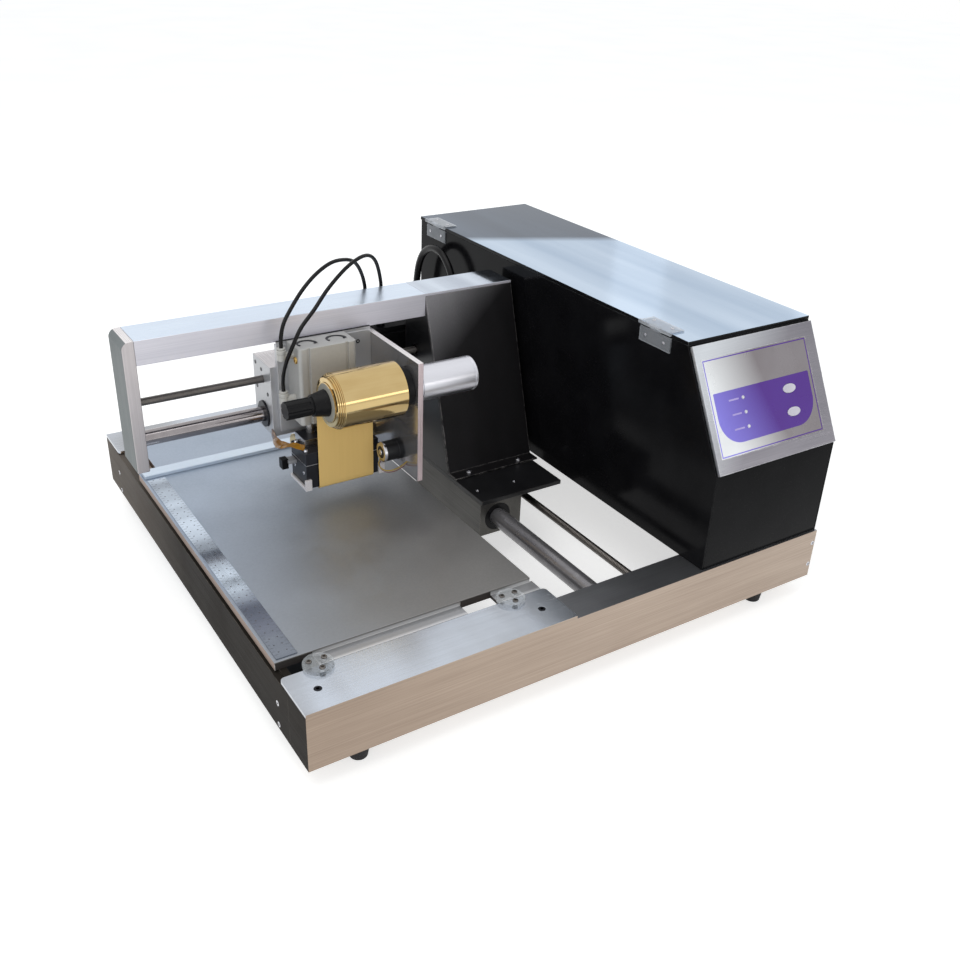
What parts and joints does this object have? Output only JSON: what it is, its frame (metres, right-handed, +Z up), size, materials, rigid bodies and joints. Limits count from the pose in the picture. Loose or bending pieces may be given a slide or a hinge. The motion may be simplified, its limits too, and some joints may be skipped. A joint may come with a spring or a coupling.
{
  "type": "hot foil printer",
  "caption": "Flatbed hot foil printer: a cantilever gantry carries a foil roll and an air-pressed print head over a flat bed, beside a lidded control housing.",
  "frame": {"origin": "on the table, under the middle of the machine's box without its tubes and cable", "axes": "+X to the control housing at the machine's right, +Y from the front to the back, +Z up"},
  "size_m": [0.602, 0.565, 0.319],
  "materials": {
    "brushed_bar": "brushed, warm reflections",
    "dark_side": "satin dark grey-brown",
    "bright_cover": "brushed bluish silver",
    "bed_grey": "satin anodised grey",
    "rule_steel": "bright steel with punched dots",
    "clear_plastic": "clear plastic",
    "black_screw": "black oxide, satin",
    "rubber_black": "matte",
    "shaft_steel": "ground hard steel, dark reflections",
    "screw_steel": "rolled thread, dark",
    "motor_black": "satin black",
    "block_alu": "milled, satin",
    "bushing_dark": "dark ring",
    "plate_black": "satin black",
    "pillar_dark": "brushed dark grey",
    "beam_alu": "brushed silver",
    "end_alu": "brushed, grey-green reflections",
    "head_alu": "milled, bright edges",
    "cylinder_alu": "beige-grey anodised",
    "fitting_grey": "grey plastic",
    "tube_black": "smooth black",
    "motor_silver": "turned, bright",
    "foil_gold": "mirror gold foil",
    "hub_black": "matte black",
    "head_black": "satin black",
    "guard_silver": "bright",
    "housing_black": "gloss black",
    "panel_silver": "brushed silver",
    "overlay_purple": "printed film, purple field",
    "button_silver": "silver-white",
    "lid_mirror": "near-mirror",
    "supply_steel": "galvanised",
    "board_green": "green board",
    "inlet_black": "moulded black",
    "brass": "turned"
  },
  "bodies": {
    "base": {"front_bar": "brushed_bar", "rear_bar": "brushed_bar", "side_plates": "dark_side", "bed_rails": "dark_side", "cover_plates": "bright_cover", "frame_screws": "black_screw", "rubber_feet": "rubber_black", "bed_plate": "bed_grey", "steel_rule": "rule_steel", "back_fence": "bed_grey", "clamp_discs": "clear_plastic", "y_guide_shaft": "shaft_steel", "y_motor": "motor_black", "housing_side_panels": "housing_black", "housing_front_panel": "housing_black", "housing_rear_panel": "housing_black", "housing_floor": "dark_side", "control_panel": "panel_silver", "panel_overlay": "overlay_purple", "hinge_base_leaves": "clear_plastic", "power_supply": "supply_steel", "control_board": "board_green", "power_inlet": "inlet_black", "air_inlet": "brass", "cable_loop": "tube_black"},
    "gantry": {"carriage_block": "block_alu", "y_bushings": "bushing_dark", "gantry_base_plate": "plate_black", "pillar_plates": "plate_black", "pillar_cover": "pillar_dark", "pillar_top_plate": "beam_alu", "gantry_beam": "beam_alu", "gantry_end_plate": "end_alu", "x_guide_shaft": "shaft_steel", "x_motor": "motor_black"},
    "head": {"head_block": "head_alu", "x_bushings": "bushing_dark", "head_back_plate": "head_alu", "head_side_plate": "head_alu", "air_cylinder": "cylinder_alu", "air_fittings": "fitting_grey", "air_tube_upper": "tube_black", "air_tube_lower": "tube_black", "air_valve": "motor_black", "spool_motor": "motor_silver", "feed_motor": "motor_black", "foil_web": "foil_gold"},
    "press": {"cylinder_rods": "guard_silver", "print_head": "head_black", "head_guards": "guard_silver"},
    "foil_spool": {"foil_roll": "foil_gold", "spool_hub": "hub_black"},
    "take_up": {"take_up_spool": "foil_gold"},
    "cross_screw": {"x_screw": "screw_steel"},
    "bed_screw": {"y_screw": "screw_steel"},
    "lid_cover": {"lid": "lid_mirror", "hinge_lid_leaves": "clear_plastic"},
    "upper_key": {"button_upper": "button_silver"},
    "lower_key": {"button_lower": "button_silver"},
    "rocker": {"switch_rocker": "inlet_black"}
  },
  "joints": [
    {"name": "gantry_slide", "type": "slide", "parent": "base", "child": "gantry", "axis": [0, 1, 0], "range_m": [-0.17, 0.1], "deforming": ["cable_loop"]},
    {"name": "head_slide", "type": "slide", "parent": "gantry", "child": "head", "axis": [1, 0, 0], "range_m": [-0.105, 0.055]},
    {"name": "press_slide", "type": "slide", "parent": "head", "child": "press", "axis": [0, 0, -1], "range_m": [0, 0.02], "deforming": ["foil_web"]},
    {"name": "foil_spool_spin", "type": "hinge", "parent": "head", "child": "foil_spool", "pos_m": [-0.095, -0.0275, 0.213], "axis": [1, 0, 0], "continuous": true},
    {"name": "take_up_spin", "type": "hinge", "parent": "head", "child": "take_up", "pos_m": [-0.095, 0.0555, 0.132], "axis": [1, 0, 0], "continuous": true},
    {"name": "cross_screw_turn", "type": "hinge", "parent": "gantry", "child": "cross_screw", "pos_m": [-0.129, 0.0795, 0.202], "axis": [1, 0, 0], "range_deg": [-2520, 4760]},
    {"name": "bed_screw_turn", "type": "hinge", "parent": "base", "child": "bed_screw", "pos_m": [0.096, -0.0225, 0.055], "axis": [0, 1, 0], "range_deg": [-4540, 7690]},
    {"name": "lid_hinge", "type": "hinge", "parent": "base", "child": "lid_cover", "pos_m": [0.1375, 0.0235, 0.2922], "axis": [0, -1, 0], "range_deg": [0, 105]},
    {"name": "upper_key_press", "type": "slide", "parent": "base", "child": "upper_key", "axis": [0, 0.8797, -0.4755], "range_m": [0, 0.001], "stiffness_N_per_m": 400},
    {"name": "lower_key_press", "type": "slide", "parent": "base", "child": "lower_key", "axis": [0, 0.8797, -0.4755], "range_m": [0, 0.001], "stiffness_N_per_m": 400},
    {"name": "rocker_tilt", "type": "hinge", "parent": "base", "child": "rocker", "pos_m": [0.255, 0.2745, 0.144], "axis": [1, 0, 0], "range_deg": [-16, 0]}
  ],
  "couplings": [
    {"joint": "cross_screw_turn", "follows": "head_slide", "rad_per_m": -785.4},
    {"joint": "bed_screw_turn", "follows": "gantry_slide", "rad_per_m": -785.4},
    {"joint": "take_up_spin", "follows": "foil_spool_spin", "ratio": 2.8}
  ]
}
